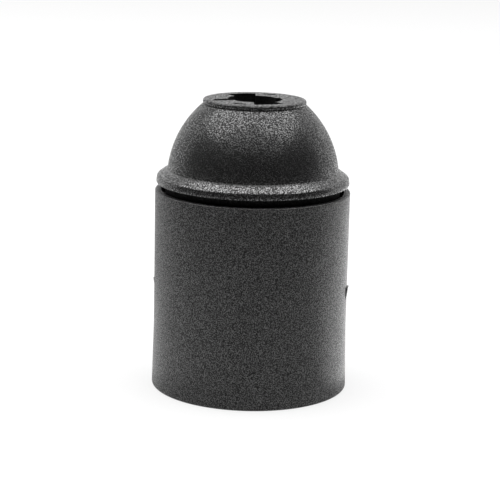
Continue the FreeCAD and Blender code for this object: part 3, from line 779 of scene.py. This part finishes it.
def dome_finish(place, normal):
    """The material slot for a face of the dome."""
    radius = math.hypot(place.x, place.y)
    # painted shade: the neck in the open seam here, and the walls of the cut openings below
    if place.z < bead_low + 0.05 * MM and radius < neck + 0.2 * MM:
        return PAINTED_SHADE
    if place.z > cut_low and radius < cut_radius and normal.z < 0.7:
        return PAINTED_SHADE
    if place.z > face_low:
        return DISC
    # painted highlight: the bead's upward faces take the paler, glossier plastic
    if bead_low < place.z < crease and normal.z > 0 and radius > crease_radius:
        return BEAD_HIGHLIGHT
    return COVER


for face in dome_shell.data.polygons:
    face.material_index = dome_finish(face.center, face.normal)
print("dome finishes:", [m.name for m in dome_shell.data.materials])

# %% [markdown]
# The other solids keep their shapes and take a finish in their own material slots.

# %% Paint the other solids
finishes = {"insert": insert_plastic, "centre_contact": contact_brass, "side_contact": contact_brass,
            "centre_rivet": contact_brass, "side_rivet": contact_brass}
for name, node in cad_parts.items():
    if name in ("skirt", "dome"):
        continue
    material = finishes.get(name, plated_steel)
    for slot in node.material_slots:
        slot.material = material
print("painted", len(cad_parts), "nodes")

# %% [markdown]
# ## The floor
#
# The stage is plain: a pale floor in a white room. A floor bright enough to look white would
# throw too much light on the object, so the camera and the reflections see it mixed with plain
# white, while other rays meet a pale floor. It keeps the object's shadow.

# %% Lay the floor
def straight_rays(tree, share):
    """The share to mix in for camera, glossy and transmission rays, and none for other rays."""
    ray = tree.nodes.new("ShaderNodeLightPath")
    total = ray.outputs["Is Camera Ray"]
    for kind in ("Is Glossy Ray", "Is Transmission Ray"):
        either = tree.nodes.new("ShaderNodeMath")
        either.operation = "MAXIMUM"
        tree.links.new(total, either.inputs[0])
        tree.links.new(ray.outputs[kind], either.inputs[1])
        total = either.outputs[0]
    scaled = tree.nodes.new("ShaderNodeMath")
    scaled.operation = "MULTIPLY"
    scaled.inputs[1].default_value = share
    tree.links.new(total, scaled.inputs[0])
    return scaled.outputs[0]


def mix_in_white(tree, share, plain, white, end):
    """Shows some white to the straight rays, and the plain surface to the rest."""
    both = tree.nodes.new("ShaderNodeMixShader")
    tree.links.new(straight_rays(tree, share), both.inputs[0])
    tree.links.new(plain.outputs[0], both.inputs[1])
    tree.links.new(white.outputs[0], both.inputs[2])
    tree.links.new(both.outputs[0], tree.nodes[end].inputs["Surface"])


floor_white = 0.65                    # share of plain white in the floor
bpy.ops.object.select_all(action="DESELECT")
bpy.ops.mesh.primitive_circle_add(vertices=96, radius=4, fill_type="NGON", location=(0, 0, skirt_low.z))
floor = bpy.context.object
floor.name = "floor"
floor_paint, tree, shader, place = new_material("floor_paint")
shader.inputs["Base Color"].default_value = (0.85, 0.85, 0.85, 1)
shader.inputs["Roughness"].default_value = 0.9
shader.inputs["Specular IOR Level"].default_value = 0.0
glow = add(tree, "ShaderNodeEmission", Strength=1.0)
mix_in_white(tree, floor_white, shader, glow, "Material Output")
floor.data.materials.append(floor_paint)
print("floor laid at", round(floor.location.z, 4))

# %% [markdown]
# ## The light
#
# One large soft lamp hangs overhead and lights the tops of the dome and the bead. Two faint
# ones lie on the floor at either side, to brighten the skirt's edges. A single lamp would be
# simpler, but would leave those edges darker.

# %% Light the room
def soft_light(name, place, aim, width, height, radiance):
    """A flat lamp of a given brightness that faces a point, unseen by the camera."""
    lamp = bpy.data.lights.new(name, "AREA")
    lamp.shape = "RECTANGLE"
    lamp.size, lamp.size_y = width, height
    lamp.energy = radiance * math.pi * width * height
    light = bpy.data.objects.new(name, lamp)
    scene.collection.objects.link(light)
    light.location = place
    light.rotation_euler = (Vector(place) - Vector(aim)).to_track_quat("Z", "Y").to_euler()
    light.visible_camera = False
    return light


soft_light("overhead", (-0.1, 0.05, 0.85), (-0.1, 0.05, 0), 1.8, 0.86, 3.0)
soft_light("right_bounce", (0.141, 0.11, 0.0006), (0.141, 0.11, 1), 0.238, 0.24, 1.4)
soft_light("left_bounce", (-0.141, -0.01, 0.0006), (-0.141, -0.01, 1), 0.238, 0.14, 0.4)

world = bpy.data.worlds.new("room")
scene.world = world
world.use_nodes = True
tree = world.node_tree
tree.nodes["Background"].inputs["Color"].default_value = (0.65, 0.65, 0.65, 1)
white = add(tree, "ShaderNodeBackground", Color=(1, 1, 1, 1), Strength=1.0)
mix_in_white(tree, 1.0, tree.nodes["Background"], white, "World Output")

# %% [markdown]
# Black plastic shows what it mirrors more than its own colour. Three dark cards therefore
# stand round the front, unseen by the camera, and keep the lower dome dark.

# %% Set up the dark cards
card_distance, card_middle, card_height = 0.9, 0.42, 0.8
cards = (("dark_card_front", 0, 1.5), ("dark_card_left", -72, 1.1), ("dark_card_right", 72, 1.1))
card_paint, tree, shader, place = new_material("card_paint")
shader.inputs["Base Color"].default_value = (0.01, 0.01, 0.01, 1)
shader.inputs["Roughness"].default_value = 1
for name, turn, width in cards:
    bpy.ops.object.select_all(action="DESELECT")
    direction = Vector((math.sin(math.radians(turn)), -math.cos(math.radians(turn)), 0))
    bpy.ops.mesh.primitive_plane_add(size=1, location=direction * card_distance + Vector((0, 0, card_middle)),
                                     rotation=(math.radians(90), 0, math.radians(turn)))
    card = bpy.context.object
    card.name = name
    card.scale = (width, card_height, 1)
    card.visible_camera = False
    card.data.materials.append(card_paint)
print("cards:", [name for name, turn, width in cards])

# %% [markdown]
# ## The camera
#
# A long lens looks down by some 13 degrees, so that the disc's face shows as a narrow oval,
# and the camera is rolled by about one degree. A short lens would fit a small room better,
# but would draw the near side too large.

# %% Set the camera
look_down, roll = 13.11, 1.29         # degrees
camera_data = bpy.data.cameras.new("camera")
camera_data.sensor_width = 36
camera_data.lens = 124.21
camera = bpy.data.objects.new("camera", camera_data)
scene.collection.objects.link(camera)
tilt = Matrix.Rotation(math.radians(90 - look_down), 4, "X") @ Matrix.Rotation(math.radians(roll), 4, "Z")
camera.matrix_world = Matrix.Translation((-0.00027, -0.33725, 0.106)) @ tilt
scene.camera = camera
print("camera at", [round(v, 4) for v in camera.location], "lens", camera_data.lens)
